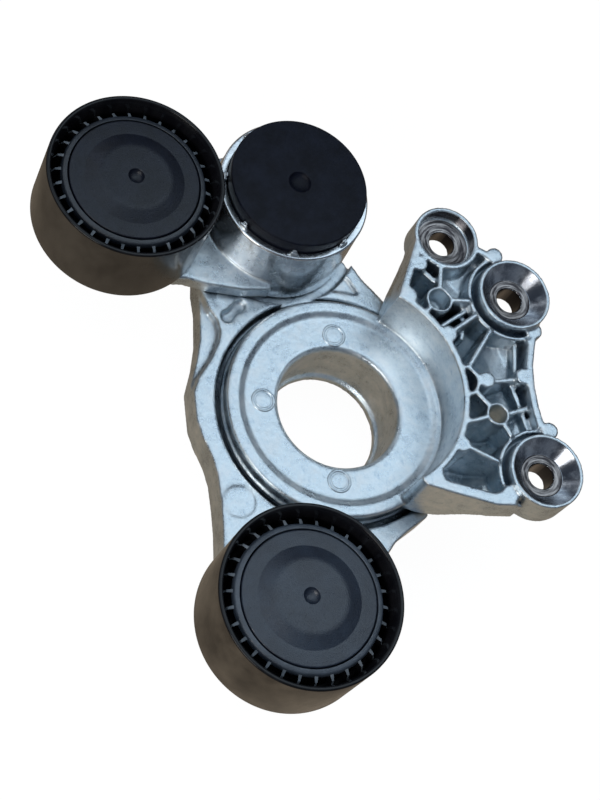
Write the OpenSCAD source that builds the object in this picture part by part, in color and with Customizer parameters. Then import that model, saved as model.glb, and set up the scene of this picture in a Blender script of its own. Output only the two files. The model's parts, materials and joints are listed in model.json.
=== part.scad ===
// Belt tensioner with two idler pulleys.
// A fixed bracket carries a ring and sleeve, a carrier swivels on the sleeve, and a sprung arm pivots on
// the carrier. Each of the two moving castings holds one smooth pulley on a ball bearing.
// All axes are parallel to Z. The origin is on the sleeve's axis, at its rear end, and +Z points forward.

/* [Pulleys] */
// Radius of the belt surface
pulley_r = 32.5; // [32:0.1:32.6]
// Radial fins in each face of a pulley
fin_count = 30; // [20:2:36]
// Balls in each bearing
ball_count = 9; // [7:1:9]

/* [Ring] */
// Radius of the main bore through the ring
bore_r = 23.5; // [22.5:0.1:24]
// Radius of the locating lip at the rear of the bore
lip_r = 21.8; // [21:0.1:22]

/* [Bracket] */
// Radius of the three bolt holes
bolt_hole_r = 5; // [4.2:0.1:5.5]
// Thickness of the ribs between the bracket's pockets
rib_t = 1.9; // [1.5:0.1:2.4]
// Thickness of the bracket's floor
floor_t = 3.2; // [2.5:0.1:4]

/* [Spring can] */
// Turns in the torsion spring
spring_turns = 4; // [3:0.5:4]

/* [Hidden] */
$fn = 96;
fit = 0.05;         // radial gap of a running or pressed fit
round_fn = 32;      // sides of small faceted rounds

// Places of the axes
upper_axis = [-55.2, 92.8];
lower_axis = [-55.2, -69.8];
can_axis = [7.5, 79];
boss_1 = [59.5, 46];
boss_2 = [74.9, 16.1];
boss_3 = [54.9, -52.5];

// Heights along Z
flange_z = 18.4;        // rear face of the ring's flange
flange_top = 26.4;
dish_z = 25.1;          // floor of the dish in the flange
carrier_z = 7.1;        // rear face of the carrier
carrier_top = 21.5;
ring_seat_z = 16.4;     // floor of the carrier's counterbore
can_seat_z = 17.5;      // floor of the recess under the can
skirt_z = 22.5;         // lowest edge of the bracket beside the ring
boss_z = 35.5;          // rear faces of the bolt bosses
rib_top = 48.1;         // plane of the bracket's ribs and of the can's rim
cup_top = 50.5;         // mouths of the two bolt cups
pulley_z = 29.5;        // rear face of the pulleys
pulley_top = 61.5;
bearing_z = 39.5;
bearing_top = 51.5;

// Ring and carrier
sleeve_r = 27.5;
bush_r = 29.5;
flange_r = 43.5;
foot_r = 44.6;          // lower step of the flange
counterbore_r = 46.5;
wall_r = 40.65;         // inner face of the bracket's curved wall
wall_t = 2.6;

// Bearing
inner_bore_r = 8.5;
inner_race_r = 12.2;
outer_race_ri = 16.3;
outer_race_r = 20;
ball_pitch_r = 14.25;
ball_r = 3.4;
groove_r = 3.46;
bearing_mid = (bearing_z + bearing_top) / 2;
seal_t = 0.8;
seal_inset = 0.4;

// Pulley
rim_ri = 29.7;          // inside of the rim
rim_slope_z = 57;       // where the rim's inside starts to open out
hub_r = 26.6;
hub_ri = 24.3;          // recess round the dust cap
hub_top = 58.3;
hub_edge_r = 25.4;      // the hub's top slopes down from here
hub_edge_z = 56;
hub_z = 33;
lip_hub_r = 18.8;       // lips that hold the bearing
web_z = 44;
web_top = 47;
fin_t = 0.9;

// Dust cap
cap_r = 23.8;
cap_face = 58.5;
cap_plateau = 60.7;
cap_t = 1.4;

// Can
can_r = 29;             // at the rim
can_base_r = 30.1;
can_ri = 26.2;
can_z = 18.5;
can_floor_t = 3;
arm_z = 22;
arm_top = 28.5;
pin_r = 8;
can_cap_r = 26.4;
can_cap_top = 54.6;

// Bracket outline in the plane of the ribs, between the bolt bosses
bracket_edge = [[7.8, -40.9], [8.6, -43.3], [16.7, -48.9], [31.4, -58.3], [41, -61.5], boss_3,
    [65, -42], [63.8, -34.9], [64.9, -28.2], [67.1, -20.1], [70.3, -12.3], [75, -4.8], [79, 0.5],
    boss_2, [75.8, 34.1], [71.7, 38.3], boss_1, [46.4, 48.1], [29.9, 28.5], [10, 0]];
// Outer edge of the pocketed area
pocket_edge = [[16, -43.2], [32.5, -53.7], boss_3, [61, -34.4], [62.1, -27.5], [64.4, -19.1],
    [67.8, -10.9], [72.3, -3.6], boss_2, [73, 33], boss_1, [48.7, 46.2], [32.2, 26.6], [30, 0]];
boss_1_r = 13;
boss_1_ri = 11.3;
boss_1_seat = 42.5;
cup_r = 14.5;
cup_mouth_r = 13.2;
cup_seat_r = 8.5;
cup_seat = 45;
collar_r = 17.8;
collar_t = 1.6;
collar_top = 47;
moat_z = 42.5;
hollow_boss = [45.3, 22.8];
through_boss = [47.6, -26];
small_pocket = [40.6, -10];
pad_r = 3.3;
pads = [[44, 39], [34.2, 27.8], [75.8, 34.1], [77.4, 0.9], [42.9, 9], [64.8, -15.1], [49.4, -12.2],
    [64.9, -37.9], [28.65, -32.6], [13.3, -41.6], [38.6, -55.8]];
// Full-height ribs, from point to point
ribs = [[[37, 19.4], hollow_boss], [hollow_boss, [52.3, 36]], [hollow_boss, [59, 18.6]],
    [[42.9, 9], [59, 13.7]], [[43.5, -6.4], [62, 7.3]], [[43, -14.6], through_boss],
    [[33, -25.4], through_boss], [through_boss, [49.4, -38]], [[28.65, -32.6], [42, -45.6]]];
// Lower ribs: two ends and the height of the top edge
low_ribs = [[[40.5, 13.1], [58.5, 17.8], 43.5], [[44, 39], [48.4, 31], 45.5],
    [[49.4, -12.2], [68, -15.8], 45.5], [through_boss, [64, -26.4], 44.5],
    [[70.5, 0.5], [62, -17], 43.5], [[61.2, -13.5], [59.2, -36], 43.2], [[50.2, 7], [55.2, 15.4], 42]];

// Carrier outline at its front face
carrier_edge = [[-31, 63.3], [-33.1, 55], [-34.7, 51.1], [-38, 42.8], [-42.9, 34.3], [-48.8, 26],
    [-50.9, 19.2], [-53.2, 11.4], [-53.4, 4.7], [-53, -3.3], [-53.6, -9.9], [-56.1, -19],
    [-59, -28.1], [-62.5, -37], [-73.4, -61.5], lower_axis, [-38, -80], [-20, -68], [-2.4, -56.8],
    [1.4, -54.2], [8.3, -51.6], [17.8, -48.8], [30, -20], [42, 27.2], [36.4, 41.3], [33.3, 48.3],
    [30.7, 59.4], [34.5, 68], can_axis, [-14, 98], [-24, 80]];
shelf_edge = [[-31.6, 70], [-31.6, 53.4], [-30.2, 47.4], [-30.7, 42.7], [-32.9, 39], [-38.5, 33.1],
    [-45.7, 27.7], [-52, 20], [-70, 40], [-50, 70]];
shelf_z = 17.5;
lobe_r = 20;
carrier_rim_r = 50;
can_lobe_r = 29;
can_recess_r = 34;
boss_r = 12;
// Pockets in the carrier's front face
peanut = [[-25.5, 47.3], [-19.2, 50.2]];
corner_pocket = [[21.6, 52.4], [27.6, 50.6], [29.4, 42.4], [18.4, 47]];
// Weight-saving pockets in the carrier's rear face
rear_pocket_low = [[-48, -8], [-52, -24], [-58, -42], [-68, -60], lower_axis, [-36, -74], [-18, -62],
    [0, -51], [10, -30], [0, 0]];
rear_pocket_high = [[-46, 18], [-44, 27], [-33, 43], [-27, 54], can_axis, [27, 58], [30, 46], [36, 30],
    [0, 0]];
rear_pocket_d = 6;
rear_rim_r = 36;

// Arm outline, from the can round to the pulley's boss
arm_edge = [can_axis, [-8, 50.5], [-18.5, 53.2], [-31.4, 58.9], [-38.6, 63.4], [-44, 65],
    [-47.3, 69.6], [-50, 77.5], upper_axis, [-51, 107.2], [-30, 109], [3, 107.6]];
arm_boss_r = 16;

function polar(r, a) = [r * cos(a), r * sin(a)];

// Flat strip from one point to another
module strip(a, b, w) {
    v = b - a;
    translate(a) rotate(atan2(v.y, v.x)) translate([0, -w / 2]) square([norm(v), w]);
}

// Solid disc and tube between two heights
module disc(r, z0, z1) {
    translate([0, 0, z0]) cylinder(r = r, h = z1 - z0);
}

module tube(ro, ri, z0, z1) {
    difference() {
        disc(ro, z0, z1);
        disc(ri, z0 - 1, z1 + 1);
    }
}

module slab(z0, z1) {
    translate([0, 0, z0]) linear_extrude(z1 - z0) children();
}

// ---- Base ----

// Everything above the bracket's rear surface, which sweeps outward from the ring to the bosses
module above_rear(lift) {
    rotate_extrude() polygon([[20, skirt_z + lift], [48, skirt_z + lift], [53, 25 + lift],
        [60, 32 + lift], [65, boss_z + lift], [110, boss_z + lift], [110, 60], [20, 60]]);
}

module bracket_outline() {
    difference() {
        union() {
            polygon(bracket_edge);
            translate(boss_1) circle(boss_1_r);
            for (p = pads) translate(p) circle(pad_r, $fn = round_fn);
        }
        circle(wall_r);
    }
}

module bracket_pockets() {
    difference() {
        polygon(pocket_edge);
        circle(wall_r + wall_t);
        translate(boss_1) circle(boss_1_r + 0.4);
        for (b = [boss_2, boss_3]) translate(b) circle(collar_r);
        for (p = pads) translate(p) circle(pad_r, $fn = round_fn);
        for (r = ribs) strip(r[0], r[1], rib_t);
        translate(hollow_boss) circle(5.3, $fn = round_fn);
        translate(through_boss) circle(4.6, $fn = round_fn);
        translate(small_pocket) circle(6.5, $fn = round_fn);
    }
}

// Round cut about the two bolt cups that leaves the pads standing
module collar_cut(r, z, pad_gap) {
    slab(z, rib_top + 1) difference() {
        for (b = [boss_2, boss_3]) translate(b) circle(r);
        for (p = pads) translate(p) circle(pad_r + pad_gap, $fn = round_fn);
    }
}

module ring_and_sleeve() {
    rotate_extrude() polygon([[lip_r, 0], [lip_r, 2.6], [bore_r, 4], [bore_r, 23.4],
        [bore_r + 0.5, 24.5], [bore_r + 1.7, dish_z], [36.6, dish_z], [37.6, 25.6], [39, flange_top],
        [flange_r - 0.5, flange_top], [flange_r, flange_top - 0.5], [flange_r, 21.2], [foot_r, 20.6],
        [foot_r, flange_z], [sleeve_r, flange_z], [sleeve_r, 3.3], [26.3, 3.3], [26.3, 1.4],
        [sleeve_r, 1.4], [sleeve_r - 0.8, 0]]);
}

module ribbed_block() {
    intersection() {
        union() {
            difference() {
                slab(skirt_z, rib_top) bracket_outline();
                intersection() {
                    slab(skirt_z, rib_top + 1) bracket_pockets();
                    above_rear(floor_t);
                }
                collar_cut(collar_r, collar_top, 0.1);
                collar_cut(collar_r - collar_t, moat_z, 0.2);
            }
            for (r = low_ribs) slab(skirt_z, r[2]) strip(r[0], r[1], rib_t);
        }
        above_rear(0);
    }
}

module base_bracket() {
    color("lightsteelblue") difference() {
        union() {
            ring_and_sleeve();
            ribbed_block();
            for (b = [boss_2, boss_3]) translate(b) disc(cup_r, boss_z, cup_top);
        }
        for (b = [boss_1, boss_2, boss_3]) translate(b) {
            disc(bolt_hole_r, 0, 60);
            disc(12.4, 20, boss_z);
        }
        translate(boss_1) disc(boss_1_ri, boss_1_seat, 60);
        for (b = [boss_2, boss_3]) translate(b) translate([0, 0, cup_seat])
            cylinder(r1 = cup_seat_r, r2 = cup_mouth_r, h = cup_top - cup_seat + 0.01);
        translate(hollow_boss) disc(4.2, 38, 60);
        translate(through_boss) disc(3.5, 20, 60);
        slab(34, rib_top + 1) difference() {
            translate(small_pocket) circle(4.9, $fn = round_fn);
            circle(wall_r + wall_t);
        }
    }
}

module swivel_bush() {
    color("dimgray") tube(bush_r, sleeve_r + fit, carrier_z, flange_z - 0.1);
}

module front_friction_ring() {
    color("#202224") tube(43.8, bush_r + 1.2, ring_seat_z + 0.1, flange_z);
}

module rear_thrust_washer() {
    color("silver") tube(38, sleeve_r + fit, 6.3, carrier_z - 0.1);
}

// Ring of spring steel bent into waves
module wave_spring() {
    steps = 72;
    waves = 3;
    section = [[28.2, 0], [34, 0], [34, 0.8], [28.2, 0.8]];
    function lift(i) = 4.35 + 0.95 * cos(i * waves * 360 / steps);
    function corner(i, k) = let (p = polar(section[k].x, i * 360 / steps)) [p.x, p.y, lift(i) + section[k].y];
    color("slategray") polyhedron(
        points = [for (i = [0:steps - 1]) for (k = [0:3]) corner(i, k)],
        faces = [for (i = [0:steps - 1]) for (k = [0:3])
            let (j = (i + 1) % steps, m = (k + 1) % 4) each
            [[4 * i + k, 4 * j + m, 4 * i + m], [4 * i + k, 4 * j + k, 4 * j + m]]]);
}

module retainer_ring() {
    color("gray") tube(32.5, 26.3 + fit, 1.6, 3.2);
}

// ---- Carrier ----

module carrier_outline() {
    polygon(carrier_edge);
    circle(carrier_rim_r);
    translate(lower_axis) circle(lobe_r);
    translate(can_axis) circle(can_lobe_r);
}

// Boss and spigot that hold a pulley's inner race
module pulley_boss(base_z) {
    disc(boss_r, base_z, bearing_z);
    translate([0, 0, base_z]) cylinder(r1 = boss_r + 4.5, r2 = boss_r, h = 4.5);
    disc(inner_bore_r - fit, bearing_z, bearing_top - 0.6);
}

module carrier_rear_pockets() {
    linear_extrude(rear_pocket_d) difference() {
        union() {
            polygon(rear_pocket_low);
            polygon(rear_pocket_high);
        }
        circle(rear_rim_r);
        translate(lower_axis) circle(boss_r + 2.5);
        translate(can_axis) circle(pin_r + 6);
        for (t = [-1, 0, 1]) {
            strip([0, 0], lower_axis + polar(24, 120) * t, rib_t + 0.4);
            strip(polar(35, 100 + 32 * t), can_axis + [-22 * t, 0], rib_t + 0.4);
        }
    }
}

module carrier_arm() {
    color("lightsteelblue") difference() {
        union() {
            slab(carrier_z, carrier_top) carrier_outline();
            translate(lower_axis) pulley_boss(carrier_top);
            translate([-50, -22.2]) disc(5.8, carrier_top, carrier_top + 0.4);
            translate([-23, 55]) disc(3.4, carrier_top, carrier_top + 0.4);
        }
        disc(bush_r + fit, 0, 60);
        disc(counterbore_r, ring_seat_z, carrier_top + 1);
        translate(can_axis) disc(can_recess_r, can_seat_z, carrier_top + 1);
        slab(shelf_z, carrier_top + 1) polygon(shelf_edge);
        slab(carrier_top - 2.6, carrier_top + 1) {
            strip(peanut[0], peanut[1], 3.8);
            for (p = peanut) translate(p) circle(2.5, $fn = round_fn);
        }
        slab(carrier_top - 2.2, carrier_top + 1) polygon(corner_pocket);
        translate([0, 0, carrier_z - 0.01]) carrier_rear_pockets();
        translate(can_axis) disc(pin_r, 0, 60);
        translate(can_axis) disc(pin_r + 2.5, 0, carrier_z + 2.5);
        translate(lower_axis) disc(4.05, 26, 60);
    }
}

module pivot_pin() {
    color("silver") translate(can_axis) {
        disc(pin_r + 2.4, carrier_z + 0.3, carrier_z + 2.5);
        disc(pin_r - 0.02, carrier_z + 0.3, can_seat_z);
        disc(pin_r, can_seat_z, 45.3);
        disc(5, 45.3, 47.6);
        disc(6.4, 47, 47.6);
    }
}

module pivot_thrust_washer() {
    color("dimgray") translate(can_axis) tube(20, pin_r + fit, can_seat_z, can_z - 0.1);
}

// Steel plate riveted to the pin's end, which holds the can down
module pin_retainer_plate() {
    color("silver") translate(can_axis) tube(23.5, 5 + 0.02, 45.3, 47);
}

// ---- Tension arm ----

module tension_arm() {
    color("lightsteelblue") difference() {
        union() {
            translate([can_axis.x, can_axis.y, can_z])
                cylinder(r1 = can_base_r, r2 = can_r, h = rib_top - can_z);
            slab(arm_z, arm_top) {
                polygon(arm_edge);
                translate(upper_axis) circle(arm_boss_r);
            }
            translate(upper_axis) pulley_boss(arm_top);
        }
        translate(can_axis) tube(can_ri, 12.5, can_z + can_floor_t, 60);
        translate(can_axis) disc(20, 44.2, 60);
        translate(can_axis) disc(10, 0, 60);
        translate(can_axis) tube(40, can_r - 0.5, rib_top - 0.5, 60);
        translate(upper_axis) disc(4.05, 27, 60);
        difference() {
            slab(arm_z - 1, arm_z + 3.4) difference() {
                polygon([[-24, 62], [-36, 67.5], [-42, 72], [-46, 92], [-40, 103], [-22, 105]]);
                strip([-24, 84], [-50, 92], rib_t);
            }
            translate(can_axis) disc(can_base_r + 1.5, 0, 60);
        }
    }
    stake_w = 2.6;
    color("lightsteelblue") for (a = [20:45:335]) translate(can_axis) rotate(a)
        translate([can_cap_r + 0.05, -stake_w / 2, rib_top - 0.2]) cube([1.1, stake_w, 2]);
}

module pivot_bush() {
    color("dimgray") translate(can_axis) tube(10 - 0.02, pin_r + fit, can_z, 43.8);
}

module damper_ring() {
    color("#202224") translate(can_axis) tube(can_ri - 0.05, 24.2, 41.5, 46.6);
}

// Coil of round wire, its turns a wire apart
module torsion_spring() {
    coil_r = 19.5;
    wire_r = 2.2;
    sides = 8;
    per_turn = 28;
    rings = spring_turns * per_turn;
    pitch = 4.7;
    z_start = can_z + can_floor_t + wire_r + 0.1;
    function place(i, k) = let (a = i * 360 / per_turn, b = k * 360 / sides, r = coil_r + wire_r * cos(b))
        [r * cos(a), r * sin(a), z_start + i * pitch / per_turn + wire_r * sin(b)];
    color("darkslategray") translate(can_axis) polyhedron(
        points = [for (i = [0:rings]) for (k = [0:sides - 1]) place(i, k)],
        faces = concat(
            [[for (k = [0:sides - 1]) k]],
            [for (i = [0:rings - 1]) for (k = [0:sides - 1])
                let (m = (k + 1) % sides, a = i * sides, b = a + sides) each
                [[a + k, b + m, a + m], [a + k, b + k, b + m]]],
            [[for (k = [sides - 1:-1:0]) rings * sides + k]]));
}

module can_cap() {
    dimple_r = 3.9;
    color("#1c2126") translate(can_axis) rotate_extrude() difference() {
        polygon([[0, 50.6], [4.6, 50.6], [5.4, can_cap_top - 1.8], [can_ri - 2, can_cap_top - 1.8],
            [can_ri - 2, 46.8], [can_ri - 0.1, 46.8], [can_ri - 0.1, rib_top], [can_cap_r, rib_top],
            [can_cap_r, can_cap_top - 0.5], [can_cap_r - 0.5, can_cap_top], [0, can_cap_top]]);
        translate([0, can_cap_top + 1.6]) circle(dimple_r, $fn = 64);
    }
}

// ---- Pulleys: every piece at the origin, set on its axis by on() ----

module on(axis) {
    translate([axis.x, axis.y, 0]) children();
}

module pulley_rim() {
    front_fin = [[hub_r - 0.2, web_top - 0.2], [rim_ri + 0.2, web_top - 0.2], [rim_ri + 0.2, 51.5],
        [hub_r - 0.2, hub_edge_z - 0.3]];
    rear_fin = [[hub_r - 0.2, hub_z + 1], [rim_ri + 0.2, hub_z + 1], [rim_ri + 0.2, web_z + 0.2],
        [hub_r - 0.2, web_z + 0.2]];
    color("#17191c") {
        rotate_extrude() polygon([[rim_ri, pulley_z + 0.6], [rim_ri + 0.6, pulley_z],
            [pulley_r - 0.8, pulley_z], [pulley_r, pulley_z + 0.8], [pulley_r, pulley_top - 0.8],
            [pulley_r - 0.6, pulley_top], [pulley_r - 1.3, pulley_top], [rim_ri, rim_slope_z],
            [rim_ri, web_top], [hub_r, web_top], [hub_r, hub_edge_z], [hub_edge_r, hub_top],
            [hub_ri, hub_top], [hub_ri, 53.5], [lip_hub_r, 53.5], [lip_hub_r, bearing_top],
            [outer_race_r + 0.02, bearing_top], [outer_race_r + 0.02, bearing_z],
            [lip_hub_r, bearing_z], [lip_hub_r, bearing_z - 1.6], [hub_ri - 1, bearing_z - 1.6],
            [hub_ri, hub_z], [hub_r, hub_z], [hub_r, web_z], [rim_ri, web_z]]);
        for (i = [0:fin_count - 1]) rotate(i * 360 / fin_count) translate([0, fin_t / 2, 0])
            rotate([90, 0, 0]) linear_extrude(fin_t) {
                polygon(front_fin);
                polygon(rear_fin);
            }
    }
}

module bearing_outer_race() {
    color("silver") rotate_extrude() difference() {
        translate([outer_race_ri, bearing_z]) square([outer_race_r - outer_race_ri, bearing_top - bearing_z]);
        translate([ball_pitch_r, bearing_mid]) circle(groove_r);
    }
}

module bearing_inner_race() {
    color("silver") rotate_extrude() difference() {
        translate([inner_bore_r, bearing_z]) square([inner_race_r - inner_bore_r, bearing_top - bearing_z]);
        translate([ball_pitch_r, bearing_mid]) circle(groove_r);
    }
}

module bearing_balls() {
    color("white") for (i = [0:ball_count - 1]) rotate(i * 360 / ball_count)
        translate([ball_pitch_r, 0, bearing_mid]) sphere(ball_r);
}

module ball_cage() {
    color("goldenrod") difference() {
        tube(15.4, 13.1, bearing_mid - 4.2, bearing_mid + 4.2);
        for (i = [0:ball_count - 1]) rotate(i * 360 / ball_count)
            translate([ball_pitch_r, 0, bearing_mid]) rotate([0, 90, 0])
                cylinder(r = ball_r + 0.1, h = 6, center = true);
    }
}

module bearing_seal(z) {
    color("#26282b") tube(outer_race_ri - fit, inner_race_r + 0.15, z, z + seal_t);
}

module pulley_washer() {
    color("gray") tube(9.6, 4.2, bearing_top, 53.2);
}

// Flanged hexagon bolt
module pulley_bolt(tip_z) {
    color("gray") {
        disc(4, tip_z, 53.2);
        disc(8.6, 53.2, 54.4);
        translate([0, 0, 54.4]) cylinder(r = 7.5, h = 2.6, $fn = 6);
    }
}

// Thin cap that clips over the bolt's flange and stands just clear of the turning hub
module dust_cap() {
    color("#22262b") rotate_extrude() difference() {
        polygon([[0, cap_plateau - 3.3], [3.6, cap_plateau - 3.3], [4.4, cap_plateau - cap_t],
            [12.4, cap_plateau - cap_t], [17.6, cap_face - cap_t], [cap_r - cap_t, cap_face - cap_t],
            [cap_r - cap_t, 55], [cap_r, 55], [cap_r, cap_face - 0.4], [cap_r - 0.4, cap_face],
            [18.2, cap_face], [13.3, cap_plateau - 0.15], [12.8, cap_plateau], [0, cap_plateau]]);
        translate([0, cap_plateau + 1]) circle(3, $fn = 64);
    }
    color("#22262b") tube(11.4, 9.7, 51.7, cap_plateau - cap_t + 0.2);
}

front_seal_z = bearing_top - seal_inset - seal_t;
rear_seal_z = bearing_z + seal_inset;

base_bracket();
swivel_bush();
front_friction_ring();
rear_thrust_washer();
wave_spring();
retainer_ring();
carrier_arm();
pivot_pin();
pivot_thrust_washer();
pin_retainer_plate();
tension_arm();
pivot_bush();
damper_ring();
torsion_spring();
can_cap();
on(upper_axis) pulley_bolt(29);  // upper_bolt
on(lower_axis) pulley_bolt(28);  // lower_bolt
on(upper_axis) pulley_washer();  // upper_washer
on(lower_axis) pulley_washer();  // lower_washer
on(upper_axis) bearing_inner_race();  // upper_bearing_inner_race
on(lower_axis) bearing_inner_race();  // lower_bearing_inner_race
on(upper_axis) dust_cap();  // upper_dust_cap
on(lower_axis) dust_cap();  // lower_dust_cap
on(upper_axis) pulley_rim();  // upper_pulley_rim
on(lower_axis) pulley_rim();  // lower_pulley_rim
on(upper_axis) bearing_outer_race();  // upper_bearing_outer_race
on(lower_axis) bearing_outer_race();  // lower_bearing_outer_race
on(upper_axis) bearing_seal(front_seal_z);  // upper_front_seal
on(lower_axis) bearing_seal(front_seal_z);  // lower_front_seal
on(upper_axis) bearing_seal(rear_seal_z);  // upper_rear_seal
on(lower_axis) bearing_seal(rear_seal_z);  // lower_rear_seal
on(upper_axis) bearing_balls();  // upper_bearing_balls
on(lower_axis) bearing_balls();  // lower_bearing_balls
on(upper_axis) ball_cage();  // upper_ball_cage
on(lower_axis) ball_cage();  // lower_ball_cage
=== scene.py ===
import json
import math

import bmesh
import bpy
import numpy as np
from mathutils import Matrix, Vector


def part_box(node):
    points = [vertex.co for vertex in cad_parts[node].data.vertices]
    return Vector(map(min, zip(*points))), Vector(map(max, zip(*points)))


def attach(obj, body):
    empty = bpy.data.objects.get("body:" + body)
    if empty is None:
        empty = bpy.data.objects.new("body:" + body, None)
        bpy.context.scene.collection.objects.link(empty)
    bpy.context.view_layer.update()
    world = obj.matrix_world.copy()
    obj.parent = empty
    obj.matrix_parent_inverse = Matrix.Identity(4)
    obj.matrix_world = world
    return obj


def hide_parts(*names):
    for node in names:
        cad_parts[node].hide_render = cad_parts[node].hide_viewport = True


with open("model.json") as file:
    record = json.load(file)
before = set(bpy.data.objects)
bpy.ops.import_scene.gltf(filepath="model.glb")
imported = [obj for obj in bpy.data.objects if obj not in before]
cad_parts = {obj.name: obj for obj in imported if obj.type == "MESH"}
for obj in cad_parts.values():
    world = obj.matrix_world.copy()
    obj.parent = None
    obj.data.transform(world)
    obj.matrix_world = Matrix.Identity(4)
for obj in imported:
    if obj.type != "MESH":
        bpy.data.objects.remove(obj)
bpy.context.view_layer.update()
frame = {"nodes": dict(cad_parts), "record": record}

MM = 0.001
SCENE = bpy.context.scene
# Soft glows in the room: direction, the cosines at which each begins and is full, and colour
GLOWS = (((0.44, 0.14, 0.887), 0.90, 0.985, (1.06, 1.27, 1.45)),
         ((-0.22, 0.26, 0.940), 0.84, 0.970, (0.76, 0.90, 1.03)))


# ---------------------------------------------------------------- places, from the frame

def middle(node):
    """A node's middle in plan, in metres."""
    low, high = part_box(node)
    return (low[0] + high[0]) / 2, (low[1] + high[1]) / 2


UPPER = middle("upper_pulley_rim")
LOWER = middle("lower_pulley_rim")
CAN = middle("can_cap")
# Heights and radii in mm
PULLEY_LOW, PULLEY_HIGH = (corner[2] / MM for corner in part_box("upper_pulley_rim"))
PULLEY_R = (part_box("upper_pulley_rim")[1][0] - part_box("upper_pulley_rim")[0][0]) / 2 / MM
CAP_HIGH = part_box("upper_dust_cap")[1][2] / MM
CAP_R = (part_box("upper_dust_cap")[1][0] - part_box("upper_dust_cap")[0][0]) / 2 / MM
LID_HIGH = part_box("can_cap")[1][2] / MM
LID_R = (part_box("can_cap")[1][0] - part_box("can_cap")[0][0]) / 2 / MM
HOLES = [mount["pos_m"][:2] for mount in frame["record"]["mounts"] if mount["name"].startswith("bolt_hole")]

# Sizes of the castings that the frame doesn't give, in mm
BORE_R = 23.5
FLANGE_R = 43.5
WALL_R = 40.65          # inside of the bracket's curved wall
COUNTERBORE_R = 46.5    # the carrier's recess round the flange
DISH_Z = 25.0           # floor of the dish, just under its surface
CAN_RIM_Z = 48.1
LID_SEAT_R = 26.45      # inside of the can's rim


# ---------------------------------------------------------------- camera, floor and lights

def link(obj):
    SCENE.collection.objects.link(obj)
    return obj


def add_camera():
    """The camera at the photograph's viewing angle."""
    right = Vector((0.87094, -0.38124, 0.31004))
    up = Vector((0.25074, 0.88740, 0.38684))
    forward = Vector((0.42261, 0.25918, -0.86846))
    turn = Matrix((right, up, -forward)).transposed().to_4x4()
    data = bpy.data.cameras.new("camera")
    data.sensor_fit = "VERTICAL"
    data.sensor_height = 36
    data.lens = 81.55
    data.clip_end = 20
    camera = link(bpy.data.objects.new("camera", data))
    camera.matrix_world = Matrix.Translation((-0.2961, -0.1663, 0.6056)) @ turn
    SCENE.camera = camera


def add_floor():
    """A plain white floor to the eye, which metal sees as a warm bench top."""
    size = 4.0
    drop = 12 * MM
    mesh = bpy.data.meshes.new("floor")
    corners = [(-size, -size, -drop), (size, -size, -drop), (size, size, -drop), (-size, size, -drop)]
    mesh.from_pydata(corners, [], [(0, 1, 2, 3)])
    floor = link(bpy.data.objects.new("floor", mesh))
    mat = bpy.data.materials.new("floor_paper")
    mat.use_nodes = True
    tree = mat.node_tree
    tree.nodes.clear()
    out = tree.nodes.new("ShaderNodeOutputMaterial")
    path = tree.nodes.new("ShaderNodeLightPath")
    place = tree.nodes.new("ShaderNodeTexCoord")
    cloud = tree.nodes.new("ShaderNodeTexNoise")
    cloud.inputs["Scale"].default_value = 5
    cloud.inputs["Detail"].default_value = 3
    tree.links.new(place.outputs["Object"], cloud.inputs["Vector"])
    warm = tree.nodes.new("ShaderNodeValToRGB")
    warm.color_ramp.elements[0].position = 0.35
    warm.color_ramp.elements[0].color = (0.13, 0.105, 0.077, 1)
    warm.color_ramp.elements[1].position = 0.65
    warm.color_ramp.elements[1].color = (0.31, 0.262, 0.205, 1)
    tree.links.new(cloud.outputs["Fac"], warm.inputs["Fac"])
    bench = tree.nodes.new("ShaderNodeEmission")
    tree.links.new(warm.outputs["Color"], bench.inputs["Color"])
    paper = tree.nodes.new("ShaderNodeEmission")
    paper.inputs["Strength"].default_value = 1.1
    shade = tree.nodes.new("ShaderNodeBsdfDiffuse")
    shade.inputs["Color"].default_value = (0.9, 0.9, 0.9, 1)
    seen = tree.nodes.new("ShaderNodeMixShader")
    seen.inputs["Fac"].default_value = 0.12
    tree.links.new(paper.outputs["Emission"], seen.inputs[1])
    tree.links.new(shade.outputs["BSDF"], seen.inputs[2])
    pick = tree.nodes.new("ShaderNodeMixShader")
    tree.links.new(path.outputs["Is Camera Ray"], pick.inputs["Fac"])
    tree.links.new(bench.outputs["Emission"], pick.inputs[1])
    tree.links.new(seen.outputs["Shader"], pick.inputs[2])
    tree.links.new(pick.outputs["Shader"], out.inputs["Surface"])
    mesh.materials.append(mat)


def add_window(name, place, watts, colour):
    """A broad, weak lamp that faces the part."""
    target = (0.0, 0.01, 0.04)
    data = bpy.data.lights.new(name, "AREA")
    data.shape = "RECTANGLE"
    data.size, data.size_y = 0.5, 0.4
    data.energy = watts
    data.color = colour
    lamp = link(bpy.data.objects.new(name, data))
    lamp.location = place
    lamp.rotation_euler = (Vector(target) - Vector(place)).to_track_quat("-Z", "Y").to_euler()


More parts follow.
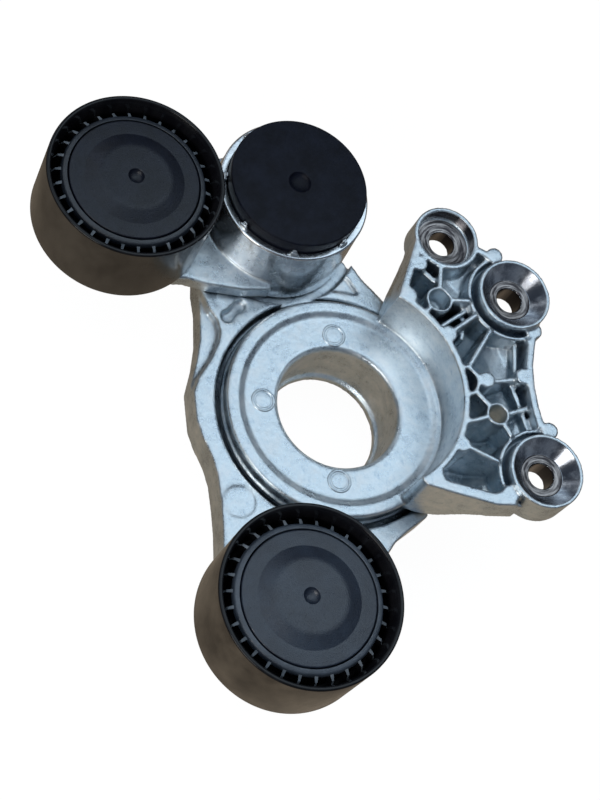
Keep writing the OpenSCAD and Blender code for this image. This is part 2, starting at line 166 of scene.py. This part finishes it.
def add_world():
    """A dim blue-grey room with soft glows overhead for metal to reflect. The eye sees plain paper."""
    world = bpy.data.worlds.new("studio")
    world.use_nodes = True
    tree = world.node_tree
    back = tree.nodes["Background"]
    place = tree.nodes.new("ShaderNodeTexCoord").outputs["Generated"]
    split = tree.nodes.new("ShaderNodeSeparateXYZ")
    tree.links.new(place, split.inputs["Vector"])
    room = tree.nodes.new("ShaderNodeValToRGB")
    stops = ((0.0, (0.17, 0.19, 0.22)), (0.35, (0.05, 0.06, 0.08)), (0.68, (0.07, 0.085, 0.11)),
             (0.92, (0.20, 0.235, 0.28)))
    for _ in range(len(stops) - 2):
        room.color_ramp.elements.new(0.5)
    for element, (position, colour) in zip(room.color_ramp.elements, stops):
        element.position = position
        element.color = (*colour, 1)
    tree.links.new(split.outputs["Z"], room.inputs["Fac"])
    total = room.outputs["Color"]
    for direction, start, full, colour in GLOWS:
        toward = tree.nodes.new("ShaderNodeVectorMath")
        toward.operation = "DOT_PRODUCT"
        toward.inputs[1].default_value = direction
        tree.links.new(place, toward.inputs[0])
        glow = tree.nodes.new("ShaderNodeValToRGB")
        glow.color_ramp.interpolation = "EASE"
        glow.color_ramp.elements[0].position = start
        glow.color_ramp.elements[0].color = (0, 0, 0, 1)
        glow.color_ramp.elements[1].position = full
        glow.color_ramp.elements[1].color = (*colour, 1)
        tree.links.new(toward.outputs["Value"], glow.inputs["Fac"])
        both = tree.nodes.new("ShaderNodeMix")
        both.data_type = "RGBA"
        both.blend_type = "LIGHTEN"
        both.inputs["Factor"].default_value = 1
        tree.links.new(total, both.inputs["A"])
        tree.links.new(glow.outputs["Color"], both.inputs["B"])
        total = both.outputs["Result"]
    tree.links.new(total, back.inputs["Color"])
    eye = tree.nodes.new("ShaderNodeBackground")
    eye.inputs["Color"].default_value = (0.93, 0.93, 0.93, 1)
    pick = tree.nodes.new("ShaderNodeMixShader")
    tree.links.new(tree.nodes.new("ShaderNodeLightPath").outputs["Is Camera Ray"], pick.inputs["Fac"])
    tree.links.new(back.outputs["Background"], pick.inputs[1])
    tree.links.new(eye.outputs["Background"], pick.inputs[2])
    tree.links.new(pick.outputs["Shader"], tree.nodes["World Output"].inputs["Surface"])
    SCENE.world = world


def add_lights():
    add_window("window_left", (-0.85, -0.30, 0.55), 3.0, (1.0, 0.98, 0.95))
    add_window("window_back", (-0.20, 0.95, 0.60), 0.5, (0.9, 0.95, 1.0))


# ---------------------------------------------------------------- materials

class Material:
    """A node material with a Principled shader, and short calls that add nodes to it."""

    def __init__(self, name, colour, metallic, roughness):
        self.mat = bpy.data.materials.new(name)
        self.mat.use_nodes = True
        self.tree = self.mat.node_tree
        self.shader = self.tree.nodes["Principled BSDF"]
        self.shader.inputs["Base Color"].default_value = (*colour, 1)
        self.shader.inputs["Metallic"].default_value = metallic
        self.shader.inputs["Roughness"].default_value = roughness
        self.place = self.tree.nodes.new("ShaderNodeTexCoord").outputs["Object"]

    def noise(self, cell_mm, detail, rough, stretch=(1, 1, 1)):
        """Noise whose cells are about cell_mm across."""
        vector = self.place
        if stretch != (1, 1, 1):
            node = self.tree.nodes.new("ShaderNodeMapping")
            node.inputs["Scale"].default_value = stretch
            self.tree.links.new(self.place, node.inputs["Vector"])
            vector = node.outputs["Vector"]
        node = self.tree.nodes.new("ShaderNodeTexNoise")
        node.inputs["Scale"].default_value = 1 / (cell_mm * MM)
        node.inputs["Detail"].default_value = detail
        node.inputs["Roughness"].default_value = rough
        self.tree.links.new(vector, node.inputs["Vector"])
        return node.outputs["Fac"]

    def ramp(self, value, stops):
        """Colours along a value, from stops of (position, colour)."""
        node = self.tree.nodes.new("ShaderNodeValToRGB")
        elements = node.color_ramp.elements
        while len(elements) < len(stops):
            elements.new(0.5)
        for element, (position, colour) in zip(elements, stops):
            element.position = position
            element.color = (*colour, 1)
        self.tree.links.new(value, node.inputs["Fac"])
        return node.outputs["Color"]

    def span(self, value, from_low, from_high, low, high):
        """Spreads one range of a value over another."""
        node = self.tree.nodes.new("ShaderNodeMapRange")
        node.inputs["From Min"].default_value = from_low
        node.inputs["From Max"].default_value = from_high
        node.inputs["To Min"].default_value = low
        node.inputs["To Max"].default_value = high
        self.tree.links.new(value, node.inputs["Value"])
        return node.outputs["Result"]

    def multiply(self, a, b, factor=1.0):
        node = self.tree.nodes.new("ShaderNodeMix")
        node.data_type = "RGBA"
        node.blend_type = "MULTIPLY"
        node.inputs["Factor"].default_value = factor
        self.tree.links.new(a, node.inputs["A"])
        self.tree.links.new(b, node.inputs["B"])
        return node.outputs["Result"]

    def add(self, a, b):
        node = self.tree.nodes.new("ShaderNodeMath")
        node.operation = "ADD"
        self.tree.links.new(a, node.inputs[0])
        self.tree.links.new(b, node.inputs[1])
        return node.outputs["Value"]

    def scaled(self, value, factor):
        node = self.tree.nodes.new("ShaderNodeMath")
        node.operation = "MULTIPLY"
        node.inputs[1].default_value = factor
        self.tree.links.new(value, node.inputs[0])
        return node.outputs["Value"]

    def painted_corner_shade(self, reach_mm, low):
        """Painted shade: grey that falls towards low in corners and pockets."""
        node = self.tree.nodes.new("ShaderNodeAmbientOcclusion")
        node.samples = 6
        node.inputs["Distance"].default_value = reach_mm * MM
        return self.ramp(node.outputs["AO"], [(0.25, low), (0.85, (1, 1, 1))])

    def colour(self, value):
        self.tree.links.new(value, self.shader.inputs["Base Color"])

    def rough(self, value):
        self.tree.links.new(value, self.shader.inputs["Roughness"])

    def vector_math(self, operation, first, second=None):
        node = self.tree.nodes.new("ShaderNodeVectorMath")
        node.operation = operation
        self.tree.links.new(first, node.inputs[0])
        if second:
            self.tree.links.new(second, node.inputs[1])
        return node

    def bump(self, height, depth_mm, strength):
        node = self.tree.nodes.new("ShaderNodeBump")
        node.inputs["Distance"].default_value = depth_mm * MM
        node.inputs["Strength"].default_value = strength
        self.tree.links.new(height, node.inputs["Height"])
        self.tree.links.new(node.outputs["Normal"], self.shader.inputs["Normal"])


def cast_aluminium():
    """Die-cast aluminium: flow mottling, dark flecks, a fine grain, and painted shade darkening the corners.
    """
    m = Material("cast_aluminium", (0.75, 0.79, 0.84), 1.0, 0.35)
    flow = m.noise(7, 6, 0.68)
    fine = m.noise(0.35, 2, 0.5)
    tone = m.ramp(flow, [(0.34, (0.56, 0.63, 0.69)), (0.50, (0.76, 0.84, 0.89)), (0.66, (0.92, 0.965, 0.99))])
    flecks = m.ramp(m.noise(2.2, 5, 0.72, (1, 0.45, 1)), [(0.56, (1, 1, 1)), (0.70, (0.74, 0.79, 0.84))])
    # Painted shade: ambient occlusion darkens the colour in corners and pockets.
    m.colour(m.multiply(m.multiply(tone, flecks), m.painted_corner_shade(4, (0.24, 0.27, 0.31)), 0.85))
    m.rough(m.span(m.add(m.scaled(flow, 0.7), m.scaled(fine, 0.3)), 0.38, 0.62, 0.24, 0.42))
    m.bump(m.add(m.noise(3.2, 6, 0.68), m.scaled(fine, 0.25)), 0.28, 0.8)
    return m.mat


def bright_can():
    """The can's smooth drawn-looking wall: soft mirror with faint upright streaks."""
    m = Material("can_aluminium", (0.80, 0.83, 0.86), 1.0, 0.2)
    m.colour(m.ramp(m.noise(9, 5, 0.65), [(0.35, (0.70, 0.745, 0.79)), (0.6, (0.90, 0.925, 0.95))]))
    m.rough(m.span(m.noise(4, 4, 0.65), 0.35, 0.7, 0.18, 0.32))
    m.bump(m.noise(7, 3, 0.55, (1, 1, 0.25)), 0.45, 0.6)
    return m.mat


def turned_painted_streaks(name, dark, bright, across, around, rough):
    """Turned metal whose colour is painted highlight and reflection: noise stretched about the piece's own
    axis, in rings or in rays.
    """
    m = Material(name, bright, 1.0, rough)
    split = m.tree.nodes.new("ShaderNodeSeparateXYZ")
    m.tree.links.new(m.place, split.inputs["Vector"])
    flat = m.tree.nodes.new("ShaderNodeCombineXYZ")
    m.tree.links.new(split.outputs["X"], flat.inputs["X"])
    m.tree.links.new(split.outputs["Y"], flat.inputs["Y"])
    length = m.vector_math("LENGTH", flat.outputs["Vector"])
    wide = m.vector_math("SCALE", m.vector_math("NORMALIZE", flat.outputs["Vector"]).outputs["Vector"])
    wide.inputs["Scale"].default_value = around
    rise = m.tree.nodes.new("ShaderNodeCombineXYZ")
    m.tree.links.new(m.scaled(length.outputs["Value"], across / MM), rise.inputs["Z"])
    where = m.vector_math("ADD", wide.outputs["Vector"], rise.outputs["Vector"])
    marks = m.tree.nodes.new("ShaderNodeTexNoise")
    marks.inputs["Scale"].default_value = 1
    marks.inputs["Detail"].default_value = 4
    marks.inputs["Roughness"].default_value = 0.6
    m.tree.links.new(where.outputs["Vector"], marks.inputs["Vector"])
    # Painted highlight and reflection: the colour ramp lays light and dark streaks where a machined surface
    # would mirror its surroundings.
    m.colour(m.ramp(marks.outputs["Fac"], [(0.42, dark), (0.60, bright)]))
    m.rough(m.span(marks.outputs["Fac"], 0.3, 0.7, rough, rough * 1.6))
    m.bump(marks.outputs["Fac"], 0.08, 0.6)
    return m.mat


def grained_cap(name, tone_low, tone_high, gloss, grain_mm=0.45):
    """Moulded black plastic with a fine spark-eroded grain and a little dust."""
    m = Material(name, tone_low, 0.0, 0.5)
    m.shader.inputs["Specular IOR Level"].default_value = gloss
    dust = m.noise(9, 6, 0.7)
    grain = m.noise(grain_mm, 2, 0.6)
    m.colour(m.ramp(dust, [(0.38, tone_low), (0.66, tone_high)]))
    m.rough(m.span(grain, 0.3, 0.7, 0.26, 0.42))
    m.bump(grain, 0.13, 1.0)
    return m.mat


def gloss_black(name, dark, light):
    """Glossy moulded plastic of the pulleys, with faint rub marks. In light colours, as on the fin edges, it
    is a painted highlight.
    """
    m = Material(name, dark, 0.0, 0.15)
    m.shader.inputs["Specular IOR Level"].default_value = 0.3
    rub = m.noise(6, 4, 0.6, (1, 1, 0.3))
    m.colour(m.ramp(rub, [(0.4, dark), (0.8, light)]))
    m.rough(m.span(m.noise(1.5, 3, 0.6), 0.3, 0.7, 0.10, 0.22))
    m.bump(m.noise(8, 2, 0.5), 0.05, 0.4)
    return m.mat


def belt_painted_reflection(name, dark, light):
    """The pulley's running surface: a polished dark coat, partly metallic so that it mirrors what lies round
    it. Its warm brown tone and its light and dark bands are painted reflection of the bench top.
    """
    m = Material(name, light, 0.35, 0.2)
    m.shader.inputs["IOR"].default_value = 1.8
    # Painted reflection: light and dark bands of the mirrored bench.
    painted_reflection_bands = m.noise(14, 3, 0.55, (1, 1, 0.7))
    m.colour(m.ramp(painted_reflection_bands, [(0.36, dark), (0.66, light)]))
    m.rough(m.span(m.noise(3, 3, 0.6), 0.3, 0.7, 0.14, 0.24))
    m.bump(m.noise(12, 2, 0.5), 0.06, 0.4)
    return m.mat


def plain_metal(name, colour, rough_low, rough_high, cell_mm=0.8):
    """Bare or plated metal with faint spots."""
    m = Material(name, colour, 1.0, rough_low)
    spots = m.noise(cell_mm, 3, 0.6)
    dark = tuple(c * 0.8 for c in colour)
    m.colour(m.ramp(spots, [(0.35, dark), (0.65, colour)]))
    m.rough(m.span(spots, 0.3, 0.7, rough_low, rough_high))
    m.bump(spots, 0.01, 0.4)
    return m.mat


def plain_polymer(name, colour, rough_low, rough_high):
    """Moulded polymer or rubber with faint mottling."""
    m = Material(name, colour, 0.0, rough_low)
    spots = m.noise(0.9, 3, 0.6)
    dark = tuple(c * 0.6 for c in colour)
    m.colour(m.ramp(spots, [(0.35, dark), (0.7, colour)]))
    m.rough(m.span(spots, 0.3, 0.7, rough_low, rough_high))
    m.bump(spots, 0.02, 0.4)
    return m.mat


# ---------------------------------------------------------------- mesh tools

def finish_piece(piece, body, mats, nodes=()):
    """Gives a new piece its materials and its place on a CAD body."""
    for mat in mats:
        piece.data.materials.append(mat)
    if nodes:
        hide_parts(*nodes)
    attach(piece, body)


def cast_mesh(node, name, voxel_mm, rounds):
    """A CAD casting with its edges and corners rounded as a mould leaves them."""
    weld = 0.002 * MM
    mesh = frame["nodes"][node].data.copy()
    mesh.materials.clear()
    bm = bmesh.new()
    bm.from_mesh(mesh)
    bmesh.ops.remove_doubles(bm, verts=bm.verts, dist=weld)
    bm.to_mesh(mesh)
    bm.free()
    piece = link(bpy.data.objects.new(name, mesh))
    remesh = piece.modifiers.new("remesh", "REMESH")
    remesh.mode = "VOXEL"
    remesh.voxel_size = voxel_mm * MM
    remesh.use_smooth_shade = True
    smooth = piece.modifiers.new("smooth", "SMOOTH")
    smooth.iterations = rounds
    smooth.factor = 0.5
    bpy.context.view_layer.update()
    done = bpy.data.meshes.new_from_object(piece.evaluated_get(bpy.context.evaluated_depsgraph_get()))
    piece.modifiers.clear()
    piece.data = done
    done.name = name
    return piece


def true_round(piece, wall_r, z0, z1):
    """Sets the vertices near a round wall about the main axis exactly on it, from z0 to z1, in mm."""
    reach = 0.3 * MM
    mesh = piece.data
    points = np.empty(len(mesh.vertices) * 3)
    mesh.vertices.foreach_get("co", points)
    points = points.reshape(-1, 3)
    away = np.hypot(points[:, 0], points[:, 1])
    z = points[:, 2] / MM
    near = (z > z0) & (z < z1) & (np.abs(away - wall_r * MM) < reach)
    points[near, :2] *= (wall_r * MM / away[near])[:, None]
    mesh.vertices.foreach_set("co", points.ravel())
    mesh.update()


def fillet(points, corner_r, steps=4):
    """A closed outline of (r, z) points with its corners rounded, by corner_r or by a third number of
    the point's own. Points on the axis stay sharp."""
    out = []
    count = len(points)
    for i, here in enumerate(points):
        here = Vector(here[:2])
        size = points[i][2] if len(points[i]) > 2 else corner_r
        before = Vector(points[i - 1][:2])
        after = Vector(points[(i + 1) % count][:2])
        if here.x < 1e-6 or size == 0:
            out.append(tuple(here))
            continue
        cut = min(size, 0.45 * (before - here).length, 0.45 * (after - here).length)
        start = here + (before - here).normalized() * cut
        end = here + (after - here).normalized() * cut
        for k in range(steps + 1):
            t = k / steps
            out.append(tuple(start * (1 - t) ** 2 + here * 2 * t * (1 - t) + end * t ** 2))
    return out


def lathe_into(bm, profile, centre, turns, material=None):
    """Revolves a closed (r, z) outline in mm about a vertical axis, into a bmesh. material, if given,
    picks each face's material from its r and z."""
    rings = []
    for r, z in profile:
        if r < 1e-6:
            rings.append([bm.verts.new((centre[0], centre[1], z * MM))] * turns)
            continue
        ring = []
        for k in range(turns):
            a = 2 * math.pi * k / turns
            x = centre[0] + r * MM * math.cos(a)
            y = centre[1] + r * MM * math.sin(a)
            ring.append(bm.verts.new((x, y, z * MM)))
        rings.append(ring)
    for i, ring in enumerate(rings):
        following = rings[(i + 1) % len(rings)]
        for k in range(turns):
            m = (k + 1) % turns
            corners = []
            for v in (ring[k], ring[m], following[m], following[k]):
                if v not in corners:
                    corners.append(v)
            if len(corners) > 2:
                face = bm.faces.new(corners)
                face.smooth = True
                if material:
                    r = (profile[i][0] + profile[(i + 1) % len(profile)][0]) / 2
                    z = (profile[i][1] + profile[(i + 1) % len(profile)][1]) / 2
                    face.material_index = material(r, z)


def bevel_and_place(bm, verts, edges, bevel, turn):
    """Bevels new edges, moves the result by a matrix and returns its vertices."""
    grown = bmesh.ops.bevel(bm, geom=edges, offset=bevel * MM, segments=2, affect="EDGES", profile=0.5)
    every = list({v for v in verts if v.is_valid} | {v for f in grown["faces"] for v in f.verts})
    bmesh.ops.transform(bm, matrix=turn, verts=every)
    return every


def gusset(bm, outline, thick, turn, edge_material):
    """A bevelled web of an (r, z) outline in mm, thinner outward, with a material of its own on its edge."""
    bevel = 0.15
    thinning = 0.07
    inner = min(r for r, z in outline)
    halves = [thick * (0.5 - thinning * (r - inner)) for r, z in outline]
    sides = [[bm.verts.new((r * MM, side * half * MM, z * MM)) for (r, z), half in zip(outline, halves)]
             for side in (-1, 1)]
    faces = [bm.faces.new(sides[0]), bm.faces.new(sides[1][::-1])]
    count = len(outline)
    for i in range(count):
        k = (i + 1) % count
        faces.append(bm.faces.new((sides[0][k], sides[0][i], sides[1][i], sides[1][k])))
    edges = list({e for f in faces for e in f.edges})
    every = bevel_and_place(bm, sides[0] + sides[1], edges, bevel, Matrix())
    for face in {f for v in every for f in v.link_faces}:
        face.normal_update()
        on_edge = abs(face.normal.y) < 0.6 and face.normal.length > 0
        face.material_index = edge_material if on_edge else 0
    bmesh.ops.transform(bm, matrix=turn, verts=every)


def rounded_block(bm, low, high, turn, bevel):
    """A block between two corners in mm, with its edges bevelled, rotated and placed by a matrix."""
    verts = bmesh.ops.create_cube(bm, size=1)["verts"]
    for v in verts:
        v.co = Vector([(low[i] + (v.co[i] + 0.5) * (high[i] - low[i])) * MM for i in range(3)])
    edges = list({e for v in verts for e in v.link_edges})
    bevel_and_place(bm, verts, edges, bevel, turn)


def about(centre, angle):
    """A turn about the vertical axis through a centre."""
    return Matrix.Translation((centre[0], centre[1], 0)) @ Matrix.Rotation(angle, 4, "Z")


def piece_from(bm, name):
    """Turns a bmesh into a new object."""
    bmesh.ops.recalc_face_normals(bm, faces=bm.faces)
    mesh = bpy.data.meshes.new(name)
    bm.to_mesh(mesh)
    bm.free()
    return link(bpy.data.objects.new(name, mesh))


# ---------------------------------------------------------------- castings

def add_castings(cast):
    """The castings: node, piece, body, voxel in mm, rounds of smoothing, and round walls (radius, z, z)."""
    base_walls = ((BORE_R, 5.0, 22.6), (WALL_R, 28.2, 46.8), (FLANGE_R, 22.2, 25.4))
    carrier_walls = ((COUNTERBORE_R, 17.5, 20.5),)
    castings = (("base_bracket", "base_casting", "base", 0.52, 4, base_walls),
                ("carrier_arm", "carrier_casting", "carrier", 0.62, 4, carrier_walls),
                ("tension_arm", "arm_casting", "tension_arm", 0.55, 5, ()))
    for node, name, body, voxel, rounds, walls in castings:
        piece = cast_mesh(node, name, voxel, rounds)
        for wall in walls:
            true_round(piece, *wall)
        finish_piece(piece, body, [cast], [node])


def add_can_shell(bright):
    """The can's smooth outer skin and its flat rim, laid over the casting."""
    rim = CAN_RIM_Z
    foot_r, can_r, inner_r = 30.1, 29.1, 28.2
    foot = 18.6
    outline = fillet([(inner_r, foot), (foot_r, foot, 0.4), (foot_r + 0.05, foot + 1.9, 0.6),
                      (can_r, rim - 3.0, 0.8), (can_r, rim - 0.5, 0.5), (can_r - 0.5, rim + 0.03, 0.5),
                      (LID_SEAT_R, rim + 0.03, 0.15), (LID_SEAT_R, rim - 1.0), (inner_r, rim - 1.4)], 0.2, 6)
    bm = bmesh.new()
    lathe_into(bm, outline, CAN, 224)
    finish_piece(piece_from(bm, "can_skin"), "tension_arm", [bright])


def add_ejector_marks(cast):
    """Three round marks that the mould's ejector pins left in the dish."""
    ring_r = 29.4 * MM
    floor = DISH_Z
    ridge = floor + 0.4
    outline = fillet([(0, floor), (0, floor + 0.22), (2.9, floor + 0.26), (3.15, floor + 0.02),
                      (3.45, floor + 0.02), (3.75, ridge), (4.35, ridge), (4.75, floor)], 0.2, 3)
    bm = bmesh.new()
    for degrees in (70, 158.5, 246):
        a = math.radians(degrees)
        lathe_into(bm, outline, (ring_r * math.cos(a), ring_r * math.sin(a)), 64)
    finish_piece(piece_from(bm, "ring_ejector_marks"), "base", [cast])


def add_machined_holes(cup_painted_streaks, seat_painted_reflection):
    """The machined cups and seats of the three bolt holes, each about its own axis. Their colours are painted
    highlight and reflection.
    """
    hole = [(5.05, 36.2), (4.95, 36.2)]
    flat = hole + [(4.95, 42.3), (5.15, 42.58), (10.9, 42.58), (11.25, 42.9), (11.25, 47.7), (11.4, 47.9),
                   (11.4, 42.4), (5.05, 42.2)]
    conical = hole + [(4.95, 44.5), (5.3, 44.98), (7.9, 45.06), (8.45, 45.2), (13.05, 50.35),
                      (13.25, 50.45), (8.6, 44.9), (5.05, 44.4)]
    flat_seat_r, conical_seat_r = 10.9, 8.2
    shapes = ((flat, flat_seat_r), (conical, conical_seat_r), (conical, conical_seat_r))
    for number, (place, (outline, seat_r)) in enumerate(zip(HOLES, shapes), 1):
        bm = bmesh.new()
        lathe_into(bm, fillet(outline, 0.12, 2), (0, 0), 128, lambda r, z: 1 if r < seat_r else 0)
        piece = piece_from(bm, "turned_hole_%d" % number)
        piece.location = (place[0], place[1], 0)
        finish_piece(piece, "base", [cup_painted_streaks, seat_painted_reflection])


# ---------------------------------------------------------------- pulleys and caps

def add_pulley(side, centre, mats):
    """One moulded pulley: rim, hub and radial fins. mats are for its body, belt face, fin edges and hub; the
    belt face's is painted reflection and the fin edges' is painted highlight.
    """
    body, belt, fin_edge_painted_highlight, hub = range(4)
    low, high, outer = PULLEY_LOW, PULLEY_HIGH, PULLEY_R
    rim_ri, hub_r, hub_ri, lip_r, seat_r = 29.7, 26.6, 24.3, 18.8, 20.02
    seat_low, seat_high = 39.5, 51.5
    web_low, web_high = 44.0, 47.0
    hub_low, hub_high = 33.0, 58.3
    outline = fillet([
        (rim_ri, low + 0.2), (outer, low + 0.2, 0.9), (outer, high, 0.9), (outer - 1.5, high, 0.5),
        (rim_ri, 57.0, 2.0), (rim_ri - 0.1, web_high, 1.0), (hub_r, web_high, 0.8), (hub_r, 56.6, 0.6),
        (hub_r - 0.6, 57.9, 0.5), (hub_ri, hub_high, 0.25), (hub_ri, seat_high + 2), (lip_r, seat_high + 2),
        (lip_r, seat_high), (seat_r, seat_high, 0), (seat_r, seat_low, 0), (lip_r, seat_low),
        (lip_r, seat_low - 1.6), (hub_ri - 1, seat_low - 1.6), (hub_ri, hub_low), (hub_r, hub_low),
        (hub_r, web_low), (rim_ri, web_low)], 0.4)

    def material(r, z):
        if r > outer - 0.25 and low + 0.6 < z < high - 0.9:
            return belt
        return hub if r < hub_r + 0.1 and z > seat_high + 2.1 else body

    bm = bmesh.new()
    lathe_into(bm, outline, centre, 192, material)
    fins = 30
    inner, outward = hub_r - 0.3, rim_ri + 0.3
    front = [(inner, web_high - 0.4), (outward, web_high - 0.4), (outward, 52.6), (28.4, 56.2), (26.0, 57.2)]
    rear = [(inner, hub_low + 1), (outward, hub_low + 1), (outward, web_low + 0.4), (inner, web_low + 0.4)]
    for k in range(fins):
        turn = about(centre, 2 * math.pi * k / fins)
        gusset(bm, front, 1.4, turn, fin_edge_painted_highlight)
        gusset(bm, rear, 0.9, turn, body)
    finish_piece(piece_from(bm, side + "_pulley"), side + "_pulley", mats,
                 [side + "_pulley_rim"])


def bowl(radius, depth, top):
    """Points of a round dimple, from its middle outward."""
    steps = 8
    angles = [math.pi / 2 * k / steps for k in range(1, steps + 1)]
    return [(0, top - depth)] + [(radius * math.sin(a), top - depth * math.cos(a), 0) for a in angles]


def add_dust_cap(side, centre, body, mat):
    """A pulley's dust cap: a raised middle with a dimple, a lower rim, and a skirt inside."""
    top, edge = CAP_HIGH, CAP_R
    face = top - 2.2
    skin = 1.4
    dimple_floor = top - 3.4
    skirt_r, skirt_ri, skirt_low = 11.4, 9.7, 51.7
    outline = fillet(
        [(0, dimple_floor)] + bowl(2.95, 2.1, top) + [
            (3.15, top, 0.25), (12.9, top, 1.3), (18.2, face, 0.25), (edge, face, 0.5), (edge, 55.0),
            (edge - skin, 55.0), (edge - skin, face - skin), (17.6, face - skin), (12.4, top - skin),
            (skirt_r, top - skin), (skirt_r, skirt_low), (skirt_ri, skirt_low), (skirt_ri, top - skin),
            (4.4, top - skin), (3.6, dimple_floor)], 0.3)
    bm = bmesh.new()
    lathe_into(bm, outline, centre, 160)
    finish_piece(piece_from(bm, side + "_cap"), body, [mat], [side + "_dust_cap"])


def add_can_lid(lid, bright):
    """The can's lid, and the eight stakes of the rim that hold it."""
    top, edge, rim = LID_HIGH, LID_R, CAN_RIM_Z
    skin = 1.8
    dimple_floor = top - 4
    spigot_r, spigot_ri, spigot_low = 26.1, 24.2, 46.9
    outline = fillet(
        [(0, dimple_floor)] + bowl(4.3, 2.2, top) + [
            (4.7, top, 0.5), (edge, top, 0.7), (edge, rim + 1.9, 0.3), (edge - 0.25, rim + 1.6, 0.2),
            (edge - 0.25, rim, 0.2), (spigot_r, rim, 0.1), (spigot_r, spigot_low), (spigot_ri, spigot_low),
            (spigot_ri, top - skin), (6.2, top - skin), (5.2, dimple_floor)], 0.3)
    bm = bmesh.new()
    lathe_into(bm, outline, CAN, 192)
    finish_piece(piece_from(bm, "can_lid"), "tension_arm", [lid], ["can_cap"])
    bm = bmesh.new()
    stakes = 8
    for k in range(stakes):
        turn = about(CAN, math.radians(20 + 360 / stakes * k))
        rounded_block(bm, (26.42, -1.5, rim - 0.3), (27.7, 1.5, rim + 1.3), turn, 0.25)
        rounded_block(bm, (26.38, -0.8, rim + 0.9), (27.2, 0.8, rim + 2.7), turn, 0.2)
    finish_piece(piece_from(bm, "can_stakes"), "tension_arm", [bright])


# ---------------------------------------------------------------- the other CAD nodes

def finish_nodes(cast):
    """Procedural materials for the nodes that keep their CAD shape."""
    metals = {
        "steel": plain_metal("ground_steel", (0.60, 0.61, 0.63), 0.22, 0.38),
        "spring_steel": plain_metal("spring_steel", (0.30, 0.31, 0.34), 0.25, 0.45),
        "zinc_steel": plain_metal("zinc_plate", (0.62, 0.63, 0.60), 0.28, 0.42, 0.5),
        "bearing_steel": plain_metal("bearing_steel", (0.72, 0.73, 0.75), 0.08, 0.2, 0.4),
    }
    polymers = {
        "bearing_polymer": plain_polymer("bush_polymer", (0.10, 0.10, 0.11), 0.4, 0.6),
        "friction_polymer": plain_polymer("friction_polymer", (0.016, 0.016, 0.018), 0.45, 0.65),
        "seal_rubber": plain_polymer("seal_rubber", (0.02, 0.02, 0.02), 0.45, 0.6),
        "cage_polymer": plain_polymer("cage_polymer", (0.42, 0.32, 0.15), 0.4, 0.55),
        "cap_plastic": plain_polymer("cap_spare", (0.03, 0.035, 0.04), 0.4, 0.55),
        "pulley_plastic": plain_polymer("pulley_spare", (0.02, 0.02, 0.02), 0.2, 0.3),
    }
    finishes = {**metals, **polymers, "cast_aluminium": cast}
    for sub in frame["record"]["subparts"]:
        node = frame["nodes"][sub["node"]]
        node.data.materials.clear()
        node.data.materials.append(finishes[sub["material_slot"]])


SCENE.view_settings.view_transform = "Standard"
add_camera()
add_floor()
add_world()
add_lights()

CAST = cast_aluminium()
CAN_METAL = bright_can()
LID = grained_cap("can_lid_plastic", (0.004, 0.005, 0.011), (0.010, 0.013, 0.026), 0.20, 0.3)
GLOSS = gloss_black("pulley_gloss", (0.006, 0.006, 0.008), (0.016, 0.016, 0.018))
# Painted highlight: the front fins' edges are coloured light grey-blue in place of glints on the black
# plastic.
FIN_EDGE_PAINTED_HIGHLIGHT = gloss_black("fin_edge_painted_highlight", (0.16, 0.18, 0.20), (0.34, 0.37, 0.41))
# Painted highlight and reflection: bright streaks in the cups and a dark brown tone on the seats.
CUP_PAINTED_STREAKS = turned_painted_streaks("turned_cup_painted_streaks", (0.34, 0.36, 0.40), (0.90, 0.93, 0.96), 0.15, 1.6, 0.17)
SEAT_PAINTED_REFLECTION = turned_painted_streaks("turned_seat_painted_reflection", (0.04, 0.037, 0.040), (0.36, 0.33, 0.32), 0.9, 0.9, 0.18)
CAPS = {
    "upper": grained_cap("upper_cap_plastic", (0.005, 0.007, 0.014), (0.012, 0.016, 0.030), 0.50),
    "lower": grained_cap("lower_cap_plastic", (0.012, 0.019, 0.036), (0.026, 0.040, 0.066), 0.90),
}
HUBS = {
    "upper": grained_cap("upper_hub_plastic", (0.014, 0.018, 0.026), (0.030, 0.038, 0.052), 0.8),
    "lower": grained_cap("lower_hub_plastic", (0.050, 0.064, 0.086), (0.090, 0.112, 0.145), 0.95),
}
# Painted reflection: warm brown belt faces, lighter on the lower pulley, stand in for the bench mirrored in
# the black plastic.
BELT_PAINTED_REFLECTIONS = {
    "upper": belt_painted_reflection("upper_belt_painted_reflection", (0.026, 0.021, 0.017), (0.085, 0.076, 0.064)),
    "lower": belt_painted_reflection("lower_belt_painted_reflection", (0.035, 0.028, 0.022), (0.17, 0.145, 0.115)),
}

finish_nodes(CAST)
add_castings(CAST)
add_can_shell(CAN_METAL)
add_ejector_marks(CAST)
add_machined_holes(CUP_PAINTED_STREAKS, SEAT_PAINTED_REFLECTION)
for side, centre, holder in (("upper", UPPER, "tension_arm"), ("lower", LOWER, "carrier")):
    add_pulley(side, centre, [GLOSS, BELT_PAINTED_REFLECTIONS[side], FIN_EDGE_PAINTED_HIGHLIGHT, HUBS[side]])
    add_dust_cap(side, centre, holder, CAPS[side])
add_can_lid(LID, CAN_METAL)
